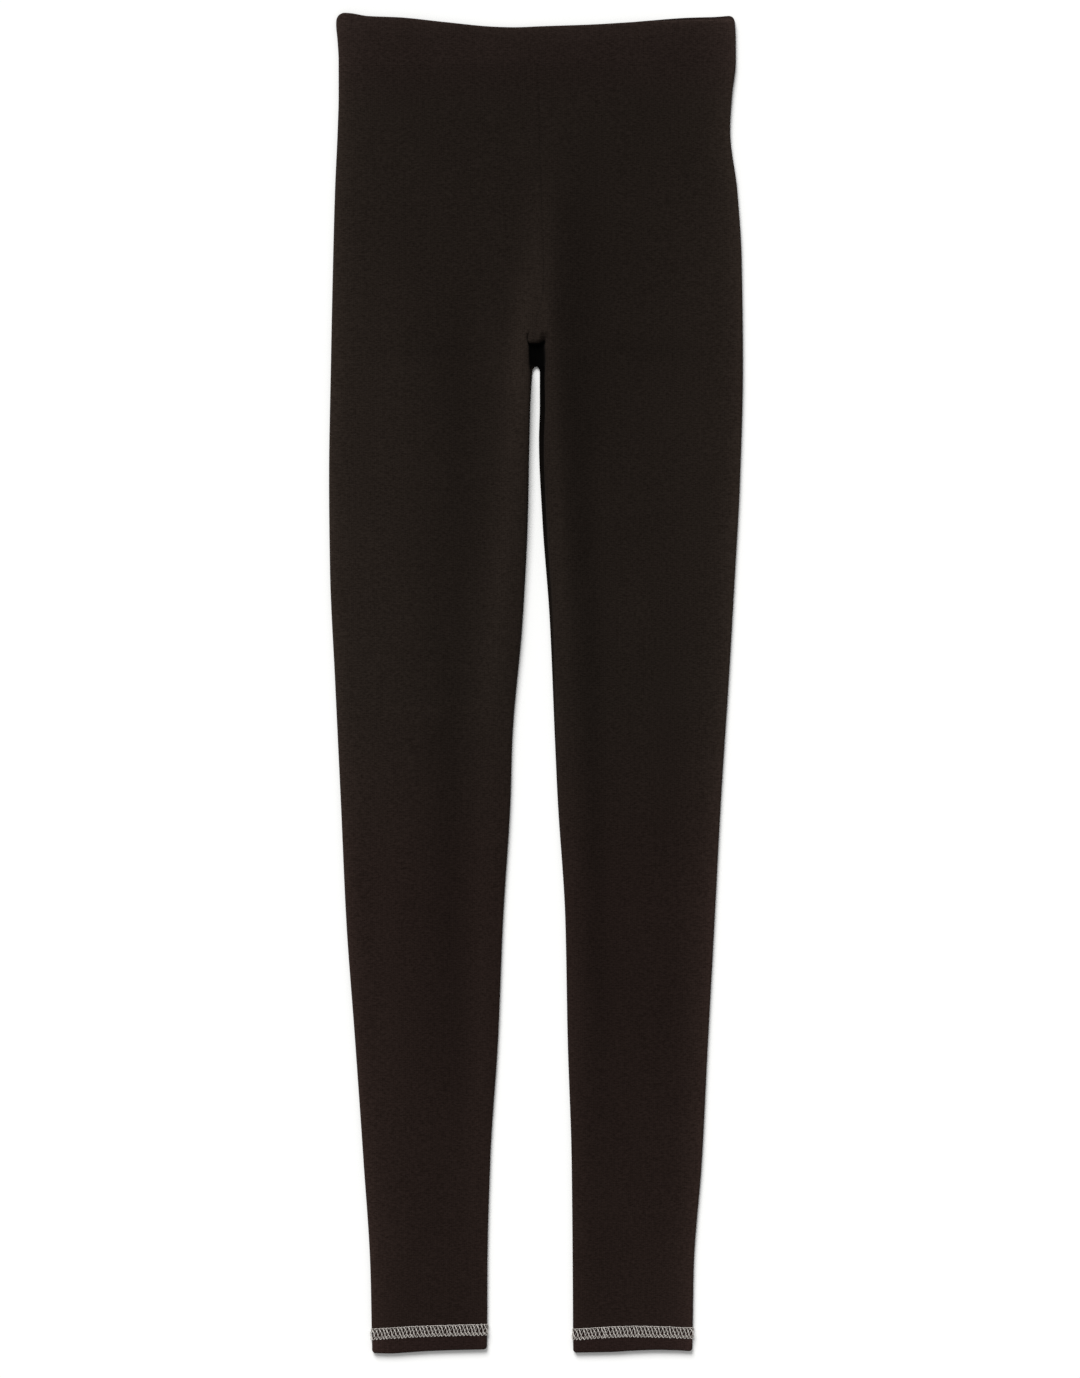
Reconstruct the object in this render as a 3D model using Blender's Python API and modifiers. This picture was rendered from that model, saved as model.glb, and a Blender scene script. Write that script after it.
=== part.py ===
"""Jersey leggings laid flat on their back: two leg panels, a waist casing and two hem bands.

Metres, +Z up. The cloth rests on z = 0 with its front up, the waist towards +Y and the wearer's right
leg at -X. The origin lies under the middle of the garment. "Down" is measured from the top of the waist
towards the feet, and "across" from the middle line outwards.
"""

import math

import bmesh
import bpy

LENGTH = 0.965  # from the top of the waist to the foot of the hems
CLOTH = 0.0012  # wall of one layer of jersey
CASING = 0.0016  # jersey, elastic and jersey
DOUBLED = 0.0015  # jersey turned up on itself
SEAM_GAP = 0.0003  # between two pieces that are sewn together
SLACK = 0.0005  # air between the front layer and the back layer under it
BAND_SLACK = 0.0009  # the same in the waist casing and the hems, whose folds stand open a little
LOW_FRONT = 2 * CLOTH + SLACK  # top of the front layer where it lies lowest
CASING_HEIGHT = 2 * CASING + BAND_SLACK
HEM_HEIGHT = 2 * DOUBLED + BAND_SLACK

FORK = 0.2543  # down to the point of the crotch, where the gap between the legs begins
FORK_ROUNDING = 0.006  # length of the rounded top of that gap
WAIST_CORNER = 0.0045  # rounding of the waist's top corners
HEM_CORNER = 0.0025
LIP = 0.0004  # straight bit at a seam edge, so that two edges face each other squarely
BACK_ROLL = 0.0021  # width of the back layer's turn up to the inseam
BACK_UPRIGHT = 0.45  # share of the inseam's height at which that turn stands upright

SIDES = {"right": -1, "left": 1}


def table(names, *rows):
    """A table as a dictionary of its named columns; the first column is the place."""
    return dict(zip(names.split(), zip(*rows)))


# The folded outer edges.
OUTER_EDGE = table(
    "down right left",
    (0.000, 0.1430, 0.1428),
    (0.010, 0.1434, 0.1434),
    (0.034, 0.1419, 0.1440),
    (0.059, 0.1420, 0.1412),
    (0.084, 0.1427, 0.1398),
    (0.127, 0.1446, 0.1449),
    (0.178, 0.1460, 0.1481),
    (0.254, 0.1476, 0.1490),
    (0.336, 0.1489, 0.1469),
    (0.401, 0.1482, 0.1434),
    (0.480, 0.1446, 0.1388),
    (0.566, 0.1405, 0.1332),
    (0.653, 0.1365, 0.1286),
    (0.739, 0.1302, 0.1239),
    (0.825, 0.1242, 0.1195),
    (0.905, 0.1191, 0.1135),
    (0.965, 0.1179, 0.1126),
)
# The inner edges, below the crotch. The rolls beside them begin to part a little above it.
INNER_EDGE = table(
    "down right left",
    (0.236, 0.0000, 0.0000),
    (0.254, 0.0023, 0.0028),
    (0.283, 0.0041, 0.0028),
    (0.307, 0.0047, 0.0022),
    (0.365, 0.0059, 0.0047),
    (0.437, 0.0096, 0.0100),
    (0.523, 0.0170, 0.0137),
    (0.566, 0.0183, 0.0157),
    (0.653, 0.0237, 0.0212),
    (0.739, 0.0273, 0.0229),
    (0.825, 0.0329, 0.0257),
    (0.905, 0.0350, 0.0265),
    (0.965, 0.0352, 0.0268),
)
# The centre seam wanders by a few millimetres and bends over to the right side in the crotch. The hump
# that it crosses runs straight. x is signed.
CENTRE_SEAM = table(
    "down x",
    (0.0300, 0.0010),
    (0.0550, 0.0015),
    (0.0720, 0.0025),
    (0.0970, 0.0027),
    (0.1220, 0.0035),
    (0.1450, 0.0042),
    (0.1670, 0.0049),
    (0.1890, 0.0056),
    (0.2030, 0.0048),
    (0.2120, 0.0025),
    (0.2180, 0.0010),
    (0.2230, -0.0002),
    (0.2280, -0.0012),
    (0.2330, -0.0015),
    (0.2400, -0.0012),
    (0.2540, 0.0000),
)
HUMP_LINE = table(
    "down x",
    (0.030, 0.0024),
    (0.163, 0.0035),
    (0.237, 0.0013),
    (0.254, 0.0000),
)
# The top edge of the waist dips at the middle. The back layer shows above the front on the left side.
WAIST_EDGE = table(
    "x front back",
    (-0.143, 0.0000, 0.0008),
    (-0.125, 0.0014, 0.0016),
    (-0.099, 0.0029, 0.0028),
    (-0.065, 0.0065, 0.0068),
    (-0.030, 0.0097, 0.0104),
    (0.005, 0.0095, 0.0104),
    (0.040, 0.0081, 0.0086),
    (0.080, 0.0062, 0.0056),
    (0.110, 0.0052, 0.0031),
    (0.143, 0.0045, 0.0022),
)
CASING_LINE = table("x down", (-0.143, 0.0378), (0.143, 0.0342))
# Each foot: the line of its flatlock stitch and the edge of its hem, from the inner to the outer side.
STITCH_LINE = table(
    "share right left",
    (0.0, 0.9474, 0.9509),
    (0.5, 0.9485, 0.9488),
    (1.0, 0.9508, 0.9499),
)
HEM_EDGE = table(
    "share right left",
    (0.0, 0.9620, 0.9642),
    (0.5, 0.9632, 0.9629),
    (0.85, 0.9650, 0.9628),
    (1.0, 0.9646, 0.9634),
)
# How high the front layer stands: on the roll beside the inner edge or centre seam, along the middle
# of the panel, and at the folded outer edge.
HEIGHT = table(
    "down inner middle outer",
    (0.036, 0.0031, 0.0034, 0.0042),
    (0.100, 0.0034, 0.0033, 0.0041),
    (0.170, 0.0053, 0.0034, 0.0040),
    (0.230, 0.0096, 0.0038, 0.0041),
    (0.265, 0.0106, 0.0041, 0.0042),
    (0.330, 0.0080, 0.0041, 0.0042),
    (0.430, 0.0060, 0.0039, 0.0041),
    (0.560, 0.0049, 0.0038, 0.0040),
    (0.720, 0.0043, 0.0037, 0.0040),
    (0.949, 0.0041, 0.0036, 0.0040),
)
FRONT_SHARES = (0.0, 0.24, 0.50, 0.84, 1.0)  # roll, trough, middle, middle, outer fold
# The roll beside the seam, a curve with four points: the crest, the shoulder at the crest's height, the
# foot, and the seam edge. "in" is the distance in from the inner edge, and a level is the share of the
# way up from the seam's lowest height to the crest. Above the crotch the curve is flat, in the crotch it
# drops to the saddle between the legs, and below it turns down to the inseam.
SEAM_ROLL = table(
    "down crest_in shoulder_in foot_in foot_level edge_level",
    (0.2300, 0.0120, 0.0080, 0.0040, 1.00, 1.00),
    (0.2352, 0.0120, 0.0066, 0.0052, 0.84, 0.85),
    (0.2380, 0.0118, 0.0058, 0.0060, 0.38, 0.40),
    (0.2408, 0.0112, 0.0046, 0.0066, 0.00, 0.00),
    (0.2515, 0.0104, 0.0034, 0.0050, 0.00, 0.00),
    (0.2543, 0.0100, 0.0034, 0.0030, 0.12, 0.00),
    (0.2585, 0.0095, 0.0038, 0.0010, 0.40, 0.00),
    (0.2660, 0.0092, 0.0041, 0.0000, 0.55, 0.00),
    (0.3300, 0.0070, 0.0032, 0.0000, 0.55, 0.00),
    (0.4300, 0.0056, 0.0025, 0.0000, 0.55, 0.00),
    (0.5600, 0.0036, 0.0016, 0.0000, 0.55, 0.00),
    (0.9490, 0.0026, 0.0012, 0.0000, 0.55, 0.00),
)
# Heights at the seam: the front layer's edge where it lies lowest, the level from which the roll's foot
# is measured, and the back layer's edge, which is on the ground down to the crotch.
SEAM_HEIGHT = table(
    "down front floor back",
    (0.2475, 0.0038, 0.0038, 0.0000),
    (0.2515, 0.0038, 0.0037, 0.0001),
    (0.2533, 0.0037, 0.0036, 0.0002),
    (0.2540, 0.0036, 0.0036, 0.0004),
    (0.2543, 0.0035, 0.0036, 0.0006),
    (0.2585, 0.0033, 0.0034, 0.0012),
    (0.2620, 0.0029, 0.0029, 0.0018),
    (0.2660, 0.0026, 0.0026, 0.0021),
    (0.4300, 0.0022, 0.0022, 0.0019),
    (0.9490, 0.0021, 0.0021, 0.0018),
)

# How finely each stretch of a leg's section is divided, from the front seam edge round to the back one.
LEG_STRETCHES = (
    ("front_lip", 1),
    ("front_roll", 5),
    ("front", 8),
    ("outer_fold", 6),
    ("back", 4),
    ("back_roll", 3),
    ("back_lip", 1),
)
# Rows of the leg's grid round the crotch: evenly spaced at the side, and gathered in at the seam.
FORK_ROWS_TOP = 0.216
FORK_ROWS_STEP = 0.006
FORK_ROWS_AT_SEAM = (
    0.2260, 0.2320, 0.2352, 0.2380, 0.2408, 0.2470, 0.2515, 0.2531,
    0.2543, 0.2555, 0.2570, 0.2600, 0.2670, 0.2790,
)  # fmt: skip
ROWS_ABOVE = 8
ROWS_BELOW = 25
EDGE_FADE = 0.10  # over this length the rows take up the slant of the casing line and the stitch line
# The bands go all round: across the front, round one side, back under and round the other side.
WAISTBAND_STRETCHES = (("front", 14), ("outer_fold", 6), ("back", 10), ("inner_fold", 6))
WAISTBAND_ROWS = 3
HEM_STRETCHES = (("front", 8), ("outer_fold", 6), ("back", 6), ("inner_fold", 6))
HEM_ROWS = 2


def along(columns, name, at):
    """A column's value at a place, on a smooth curve through the rows that never overshoots them."""
    places = next(iter(columns.values()))
    values = columns[name]
    if at <= places[0]:
        return values[0]
    if at >= places[-1]:
        return values[-1]
    rises = [
        (values[k + 1] - values[k]) / (places[k + 1] - places[k])
        for k in range(len(places) - 1)
    ]

    def slope(k):
        if k in (0, len(rises)):
            return rises[min(k, len(rises) - 1)]
        before, after = rises[k - 1], rises[k]
        if before * after <= 0:
            return 0.0
        return 2 * before * after / (before + after)

    k = max(i for i in range(len(rises)) if places[i] <= at)
    span = places[k + 1] - places[k]
    t = (at - places[k]) / span
    start = values[k] * (1 + 2 * t) * (1 - t) ** 2 + values[k + 1] * t * t * (3 - 2 * t)
    bend = slope(k) * t * (1 - t) ** 2 - slope(k + 1) * t * t * (1 - t)
    return start + bend * span


def mix(a, b, share):
    return a + (b - a) * share


def curve(points, t):
    """A point on the curve with four control points."""
    weights = ((1 - t) ** 3, 3 * t * (1 - t) ** 2, 3 * t * t * (1 - t), t**3)
    return tuple(sum(w * p[i] for w, p in zip(weights, points)) for i in (0, 1))


def toward(point, other, distance):
    """The point that lies a distance from one point towards another."""
    step = (other[0] - point[0], other[1] - point[1])
    length = math.hypot(*step)
    return (point[0] + step[0] * distance / length, point[1] + step[1] * distance / length)


def corner_drop(distance_in, radius):
    """How far a rounded corner falls away at a distance in from its outermost point."""
    reach = max(radius - max(distance_in, 0.0), 0.0)
    return radius - math.sqrt(radius**2 - reach**2)


def inner_edge(name, down):
    """Distances across to a leg's seam edge and to the line that its rolls follow.

    The edge is at the centre seam, and below the crotch at the leg's inner side, where the line meets it.
    """
    centre = SIDES[name] * along(CENTRE_SEAM, "x", down) + SEAM_GAP / 2
    parting = along(INNER_EDGE, name, down)
    t = min(max((down - FORK) / FORK_ROUNDING, 0.0), 1.0)
    return centre + parting * math.sqrt(1 - (1 - t) ** 2), centre + parting


def front_height(down, share):
    """Height of the front layer at a share of the way from the roll's crest to the outer fold."""
    middle = along(HEIGHT, "middle", down)
    heights = (
        along(HEIGHT, "inner", down),
        LOW_FRONT,
        middle,
        middle,
        along(HEIGHT, "outer", down),
    )
    return along({"share": FRONT_SHARES, "up": heights}, "up", share)


def leg_section(name, stretch, share, down):
    """A point on the outer face of a leg's section, as (across, up)."""
    edge, line = inner_edge(name, down)
    radius = along(HEIGHT, "outer", down) / 2
    turn = along(OUTER_EDGE, name, down) - radius
    hump = line + SIDES[name] * (along(HUMP_LINE, "x", down) - along(CENTRE_SEAM, "x", down))
    crest = hump + along(SEAM_ROLL, "crest_in", down)
    top = along(HEIGHT, "inner", down)
    if stretch == "front":
        return mix(crest, turn, share), front_height(down, share)
    if stretch == "outer_fold":
        angle = math.pi * share
        return turn + radius * math.sin(angle), radius + radius * math.cos(angle)
    if stretch == "back":
        return mix(turn, line + BACK_ROLL, share), 0.0

    if stretch.startswith("front"):
        low = along(SEAM_HEIGHT, "front", down)
        seam = (edge, mix(low, top, along(SEAM_ROLL, "edge_level", down)))
        floor = along(SEAM_HEIGHT, "floor", down)
        foot_up = mix(floor, top, along(SEAM_ROLL, "foot_level", down))
        foot = (hump + along(SEAM_ROLL, "foot_in", down), foot_up)
        lip = toward(seam, foot, LIP)
        shoulder = (hump + along(SEAM_ROLL, "shoulder_in", down), top)
        if stretch == "front_lip":
            return mix(seam[0], lip[0], share), mix(seam[1], lip[1], share)
        return curve((lip, foot, shoulder, (crest, top)), share)

    seam = (edge, along(SEAM_HEIGHT, "back", down))
    flatness = 1 - seam[1] / max(SEAM_HEIGHT["back"])
    foot = (line + BACK_ROLL / 3 * flatness, seam[1] * BACK_UPRIGHT)
    lip = toward(seam, foot, LIP)
    if stretch == "back_lip":
        return mix(lip[0], seam[0], share), mix(lip[1], seam[1], share)
    return curve(((line + BACK_ROLL, 0.0), (line + BACK_ROLL / 2, 0.0), foot, lip), share)


def columns_of(stretches):
    """The places round a section as (stretch, share), with each stretch's end left to the next one."""
    places = [(name, k / count) for name, count in stretches for k in range(count)]
    return places + [(stretches[-1][0], 1.0)]


def leg_rows():
    """The rows of a leg's grid as (down at the side, down at the seam)."""
    first = along(CASING_LINE, "down", 0.0) + SEAM_GAP / 2
    last = along(STITCH_LINE, "right", 0.5) - SEAM_GAP / 2
    fork = [(FORK_ROWS_TOP + FORK_ROWS_STEP * k, at) for k, at in enumerate(FORK_ROWS_AT_SEAM)]
    above = [mix(first, FORK_ROWS_TOP, k / ROWS_ABOVE) for k in range(ROWS_ABOVE)]
    below = [mix(fork[-1][0], last, (k + 1) / ROWS_BELOW) for k in range(ROWS_BELOW)]
    return [(d, d) for d in above] + fork + [(d, d) for d in below]


def seam_pull(stretch, share):
    """How far a place follows the rows gathered in at the seam: 1 on the rolls, 0 past the trough."""
    if stretch == "front":
        return max(0.0, 1 - share / FRONT_SHARES[1])
    if stretch == "back":
        return max(0.0, 1 - (1 - share) / FRONT_SHARES[1])
    return 0.0 if stretch == "outer_fold" else 1.0


def foot_share(name, across, down):
    """Share of the way across a leg from its inner to its outer edge."""
    inner, outer = inner_edge(name, down)[1], along(OUTER_EDGE, name, down)
    return min(max((across - inner) / (outer - inner), 0.0), 1.0)


def leg_point(name, place, row, first, last):
    """Where a place of a leg's section lies in space, on a row of its grid."""
    stretch, share = place
    down = mix(row[0], row[1], seam_pull(stretch, share))
    across, _ = leg_section(name, stretch, share, down)
    x = SIDES[name] * across
    near_waist = max(0.0, 1 - (down - first) / EDGE_FADE)
    near_foot = max(0.0, 1 - (last - down) / EDGE_FADE)
    stitch = along(STITCH_LINE, name, foot_share(name, across, down)) - SEAM_GAP / 2
    casing = along(CASING_LINE, "down", x) + SEAM_GAP / 2
    down += (casing - first) * near_waist + (stitch - last) * near_foot
    across, up = leg_section(name, stretch, share, down)
    return SIDES[name] * across, LENGTH / 2 - down, up


def cloth_grid(columns, rows, place, closed=False):
    """A mesh grid with each vertex put where place(column, row) says; closed joins its two side edges."""
    grid = bmesh.new()
    bmesh.ops.create_grid(grid, x_segments=columns, y_segments=rows, size=0.5)
    for vertex in grid.verts:
        column = round((vertex.co.x + 0.5) * columns)
        row = round((vertex.co.y + 0.5) * rows)
        vertex.co = place(column % columns if closed else column, row)
    if closed:
        bmesh.ops.remove_doubles(grid, verts=grid.verts, dist=1e-6)
    return grid


def jersey(name, colour):
    material = bpy.data.materials.new(name)
    material.use_nodes = True
    shader = material.node_tree.nodes["Principled BSDF"]
    shader.inputs["Base Color"].default_value = (*colour, 1.0)
    shader.inputs["Roughness"].default_value = 0.9
    shader.inputs["Metallic"].default_value = 0.0
    return material


def make_piece(name, grid, wall, material, collection, flip):
    """A named piece: the grid is its outer face, and a wall of cloth is built inwards from it."""
    if flip:
        bmesh.ops.reverse_faces(grid, faces=grid.faces)
    mesh = bpy.data.meshes.new(name)
    grid.to_mesh(mesh)
    grid.free()
    mesh.shade_smooth()
    mesh.materials.append(material)
    piece = bpy.data.objects.new(name, mesh)
    collection.objects.link(piece)
    solidify = piece.modifiers.new("cloth wall", "SOLIDIFY")
    solidify.thickness = wall
    solidify.offset = -1.0


def make_leg(name, material, collection):
    rows = leg_rows()
    places = columns_of(LEG_STRETCHES)
    first, last = rows[0][0], rows[-1][0]

    def place(column, row):
        return leg_point(name, places[column], rows[row], first, last)

    grid = cloth_grid(len(places) - 1, len(rows) - 1, place)
    make_piece(f"leg_{name}", grid, CLOTH, material, collection, flip=name == "left")


def ring_place(stretch, share, inner, outer, height):
    """A point round a flat closed band, as (x, up, whether it is on the front layer)."""
    radius = height / 2
    low, high = inner + radius, outer - radius
    angle = math.pi * share
    if stretch == "front":
        return mix(low, high, share), height, True
    if stretch == "outer_fold":
        return high + radius * math.sin(angle), radius + radius * math.cos(angle), share < 0.5
    if stretch == "back":
        return mix(high, low, share), 0.0, False
    return low - radius * math.sin(angle), radius - radius * math.cos(angle), share > 0.5


def make_waistband(material, collection):
    places = columns_of(WAISTBAND_STRETCHES)[:-1]

    def place(column, row):
        stretch, share = places[column]
        down = 0.0
        for _ in range(2):  # the sides are found again at the height that the first round gives
            inner = -along(OUTER_EDGE, "right", down)
            outer = along(OUTER_EDGE, "left", down)
            x, up, is_front = ring_place(stretch, share, inner, outer, CASING_HEIGHT)
            edge = along(WAIST_EDGE, "front" if is_front else "back", x)
            edge += corner_drop(min(x - inner, outer - x), WAIST_CORNER)
            line = along(CASING_LINE, "down", x) - SEAM_GAP / 2
            down = mix(edge, line, row / WAISTBAND_ROWS)
        return x, LENGTH / 2 - down, up

    grid = cloth_grid(len(places), WAISTBAND_ROWS, place, closed=True)
    make_piece("waistband", grid, CASING, material, collection, flip=True)


def make_hem(name, material, collection):
    places = columns_of(HEM_STRETCHES)[:-1]
    inner = inner_edge(name, LENGTH)[0]
    outer = along(OUTER_EDGE, name, LENGTH)

    def place(column, row):
        stretch, share = places[column]
        across, up, _ = ring_place(stretch, share, inner, outer, HEM_HEIGHT)
        share_across = foot_share(name, across, LENGTH)
        start = along(STITCH_LINE, name, share_across) + SEAM_GAP / 2
        end = along(HEM_EDGE, name, share_across)
        end -= corner_drop(min(across - inner, outer - across), HEM_CORNER)
        down = mix(start, end, row / HEM_ROWS)
        return SIDES[name] * across, LENGTH / 2 - down, up

    grid = cloth_grid(len(places), HEM_ROWS, place, closed=True)
    make_piece(f"hem_{name}", grid, DOUBLED, material, collection, flip=name == "left")


for old in list(bpy.data.objects):
    bpy.data.objects.remove(old)
leggings = bpy.data.collections.new("leggings")
bpy.context.scene.collection.children.link(leggings)

panel_jersey = jersey("brown-black jersey", (0.0160, 0.0110, 0.0091))
casing_jersey = jersey("jersey over elastic", (0.0168, 0.0116, 0.0096))
hem_jersey = jersey("doubled jersey", (0.0160, 0.0110, 0.0091))

for leg in SIDES:
    make_leg(leg, panel_jersey, leggings)
    make_hem(leg, hem_jersey, leggings)
make_waistband(casing_jersey, leggings)
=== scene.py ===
"""Dark jersey leggings laid flat on their back on a white table, seen from straight above.

Metres, +Z up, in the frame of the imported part: the cloth rests on z = 0 with its front up, the waist is
towards +Y and the wearer's right leg at -X. "Down" is measured from the top of the waist towards the feet
and "across" from the middle line outwards.
"""

import math

import bmesh
import bpy
import numpy as np
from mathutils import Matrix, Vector


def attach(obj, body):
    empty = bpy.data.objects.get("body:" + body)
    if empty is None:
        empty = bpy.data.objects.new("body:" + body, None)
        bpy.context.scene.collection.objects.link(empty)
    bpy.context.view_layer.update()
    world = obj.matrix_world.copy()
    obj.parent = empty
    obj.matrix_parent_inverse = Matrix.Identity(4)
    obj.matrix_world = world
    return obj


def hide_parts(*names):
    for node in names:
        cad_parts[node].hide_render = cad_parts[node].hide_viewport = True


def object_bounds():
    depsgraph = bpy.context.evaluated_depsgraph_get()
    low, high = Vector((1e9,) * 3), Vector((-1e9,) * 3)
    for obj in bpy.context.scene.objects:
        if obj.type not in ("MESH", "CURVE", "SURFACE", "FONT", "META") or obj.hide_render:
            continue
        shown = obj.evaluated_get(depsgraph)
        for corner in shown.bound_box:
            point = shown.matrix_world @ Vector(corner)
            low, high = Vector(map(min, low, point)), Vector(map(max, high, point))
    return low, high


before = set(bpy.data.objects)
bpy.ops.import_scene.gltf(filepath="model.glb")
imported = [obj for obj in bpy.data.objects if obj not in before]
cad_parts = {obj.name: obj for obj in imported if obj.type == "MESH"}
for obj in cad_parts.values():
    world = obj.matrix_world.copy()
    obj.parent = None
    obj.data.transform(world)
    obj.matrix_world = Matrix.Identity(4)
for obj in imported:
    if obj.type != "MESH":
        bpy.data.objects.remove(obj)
cad_low, cad_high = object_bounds()

# ---------------------------------------------------------------------------------------------------
# Leg panels. Each leg and its half of the seat is one panel of fine single jersey, folded round the
# outer side, sewn to the other at the centre seam and to itself down the inseam. Laid flat, the front
# layer rests on the back one, humps up over the crotch and keeps soft creases from being worn.

LENGTH = -2 * cad_low.y
TOP = LENGTH / 2
CLOTH = 0.0008  # one layer of jersey
SEAM_LAP = 0.0003  # how far two edges run past each other inside a seam
LAYERS = 2 * CLOTH + 0.0002  # top of the front layer where it is pressed on the back one
FORK = 0.2540  # down to the top of the gap between the legs
FORK_ROUNDING = 0.0038
SEAM_END = 0.2370  # down to the place where the centre seam drops into the recess of the crotch
SEAM_FADE = 0.004  # length over which its groove runs out above that
LIP = 0.0004  # straight bit at a seam edge, so that two edges face each other squarely
BACK_ROLL = 0.0021  # width of the back layer's turn up to the inseam
BACK_UPRIGHT = 0.45  # share of the inseam's height at which that turn stands upright
SIDES = {"right": -1, "left": 1}


def table(names, *rows):
    """A table as a dictionary of its named columns; the first column is the place."""
    return dict(zip(names.split(), zip(*rows)))


# Across to the outer and the inner edge of each leg, at each place down. The outer edge is the casing's too.
OUTER_EDGE = table(
    "down right left",
    (0.000, 0.1437, 0.1428),
    (0.008, 0.1441, 0.1434),
    (0.018, 0.1432, 0.1438),
    (0.034, 0.1423, 0.1439),
    (0.059, 0.1423, 0.1412),
    (0.084, 0.1430, 0.1398),
    (0.127, 0.1449, 0.1449),
    (0.178, 0.1463, 0.1481),
    (0.254, 0.1479, 0.1490),
    (0.336, 0.1492, 0.1469),
    (0.401, 0.1485, 0.1434),
    (0.480, 0.1449, 0.1388),
    (0.566, 0.1408, 0.1332),
    (0.653, 0.1368, 0.1286),
    (0.739, 0.1305, 0.1239),
    (0.825, 0.1245, 0.1195),
    (0.905, 0.1194, 0.1135),
    (0.965, 0.1182, 0.1126),
)
INNER_EDGE = table(
    "down right left",
    (0.236, 0.0000, 0.0000),
    (0.254, 0.0026, 0.0028),
    (0.283, 0.0044, 0.0028),
    (0.307, 0.0050, 0.0022),
    (0.365, 0.0062, 0.0047),
    (0.437, 0.0099, 0.0100),
    (0.523, 0.0173, 0.0137),
    (0.566, 0.0186, 0.0157),
    (0.653, 0.0240, 0.0212),
    (0.739, 0.0276, 0.0229),
    (0.825, 0.0332, 0.0257),
    (0.905, 0.0353, 0.0265),
    (0.965, 0.0355, 0.0268),
)
# The centre seam wanders by a few millimetres and bends over to the right side in the crotch. The hump
# that it crosses runs straight. x is signed.
CENTRE_SEAM = table(
    "down x",
    (0.0300, 0.0010),
    (0.0550, 0.0015),
    (0.0720, 0.0025),
    (0.0970, 0.0027),
    (0.1220, 0.0035),
    (0.1450, 0.0042),
    (0.1670, 0.0049),
    (0.1890, 0.0056),
    (0.2030, 0.0048),
    (0.2120, 0.0025),
    (0.2180, 0.0010),
    (0.2230, -0.0002),
    (0.2280, -0.0012),
    (0.2330, -0.0015),
    (0.2400, -0.0012),
    (0.2540, 0.0000),
)
HUMP_LINE = table(
    "down x",
    (0.030, 0.0024),
    (0.163, 0.0035),
    (0.237, 0.0013),
    (0.254, 0.0000),
)
# The hump leans: its crest is over the left leg, and its right side is a long slope. "left_over" is how
# much of the height is left across that slope, and "lean" how far the hump leans at all.
LEAN_ACROSS = table(
    "x left_over",
    (-0.060, 1.00),
    (-0.020, 0.22),
    (0.009, 1.00),
)
LEAN = table(
    "down lean",
    (0.045, 0.00),
    (0.095, 1.00),
    (0.225, 1.00),
    (0.242, 0.62),
    (0.300, 0.30),
    (0.360, 0.00),
)
# Down to the sewn edges: the casing's, and the stitches' by share of the way across the leg.
CASING_LINE = table("x down", (-0.143, 0.0378), (0.143, 0.0342))
STITCH_LINE = table(
    "share right left",
    (0.0, 0.9474, 0.9509),
    (0.5, 0.9485, 0.9488),
    (1.0, 0.9508, 0.9499),
)
# Height of the front layer: on the roll beside the inner edge or centre seam, in the trough next to it,
# twice on the panel's middle, and at the folded outer edge.
FRONT_SHARES = (0.0, 0.24, 0.50, 0.84, 1.0)
HEIGHT = table(
    "down roll trough dome shoulder outer",
    (0.036, 0.0041, 0.0041, 0.0041, 0.0041, 0.0041),
    (0.060, 0.0034, 0.0031, 0.0037, 0.0039, 0.0042),
    (0.100, 0.0036, 0.0028, 0.0036, 0.0040, 0.0041),
    (0.170, 0.0055, 0.0027, 0.0037, 0.0041, 0.0040),
    (0.230, 0.0096, 0.0027, 0.0040, 0.0043, 0.0041),
    (0.265, 0.0106, 0.0027, 0.0042, 0.0045, 0.0042),
    (0.330, 0.0088, 0.0026, 0.0042, 0.0046, 0.0042),
    (0.430, 0.0070, 0.0026, 0.0040, 0.0044, 0.0041),
    (0.560, 0.0057, 0.0026, 0.0039, 0.0043, 0.0040),
    (0.720, 0.0048, 0.0027, 0.0038, 0.0042, 0.0040),
    (0.900, 0.0042, 0.0029, 0.0036, 0.0040, 0.0040),
    (0.940, 0.0038, 0.0033, 0.0036, 0.0038, 0.0039),
    (0.949, 0.0037, 0.0036, 0.0037, 0.0037, 0.0038),
)
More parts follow.
